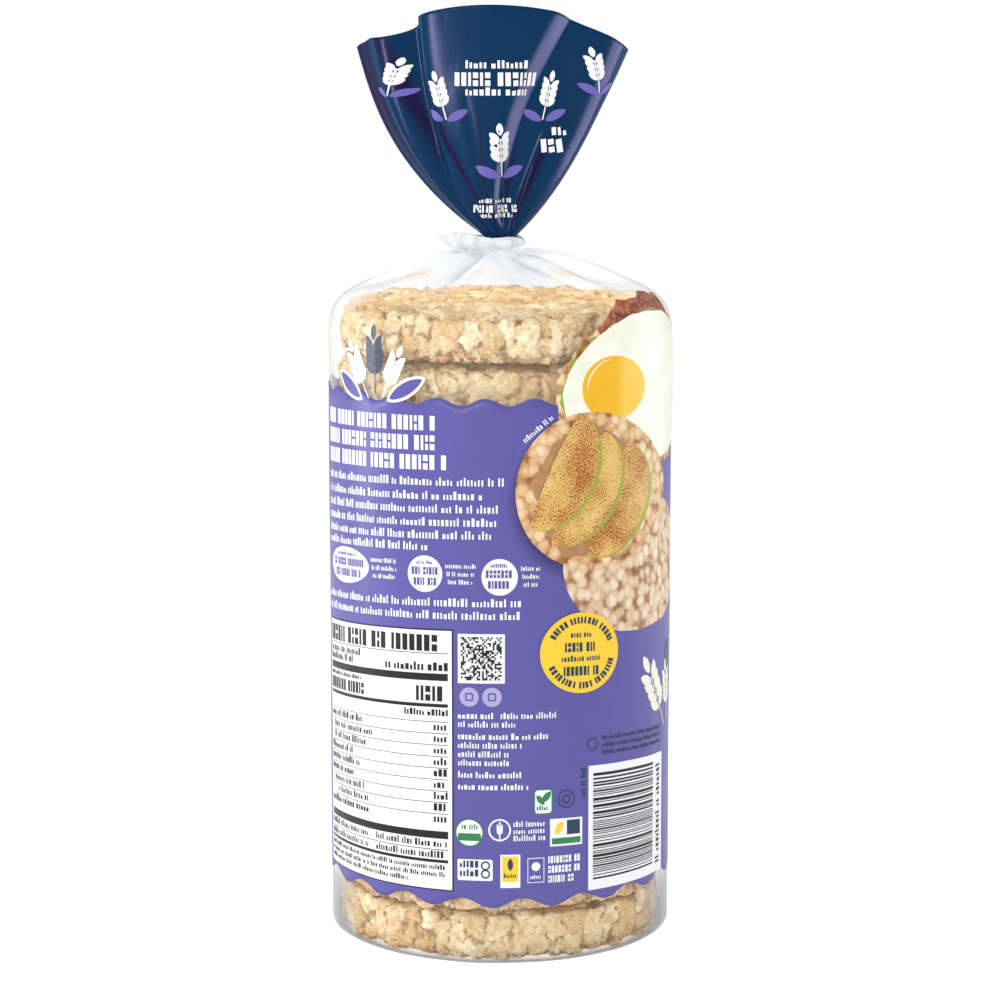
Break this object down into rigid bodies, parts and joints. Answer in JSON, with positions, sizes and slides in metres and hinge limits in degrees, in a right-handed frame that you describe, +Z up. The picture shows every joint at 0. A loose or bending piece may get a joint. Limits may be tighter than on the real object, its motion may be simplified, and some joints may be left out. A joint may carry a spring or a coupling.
{
  "type": "bag of puffed rice cakes",
  "caption": "Upright stack of round puffed rice cakes sealed in printed clear film, with a gathered shoulder, a taped neck and a ruffled collar.",
  "frame": {"origin": "centre of the bag's flat base, on the surface that it stands on", "axes": "+Z up along the stack of cakes; the shown side faces -Y, with +X to its right"},
  "size_m": [0.1028, 0.1028, 0.2755],
  "materials": {
    "clear_film": "clear glossy film with the cream and toasted cakes showing through it",
    "printed_film": "glossy violet print on film",
    "collar_film": "glossy dark blue print on film",
    "tape": "white satin tape",
    "rice_cake": "pale cream puffed rice with toasted golden-brown flecks"
  },
  "bodies": {
    "root": {"bag": "clear_film", "printed_band": "printed_film", "collar": "collar_film", "neck_tape": "tape"}
  },
  "joints": []
}
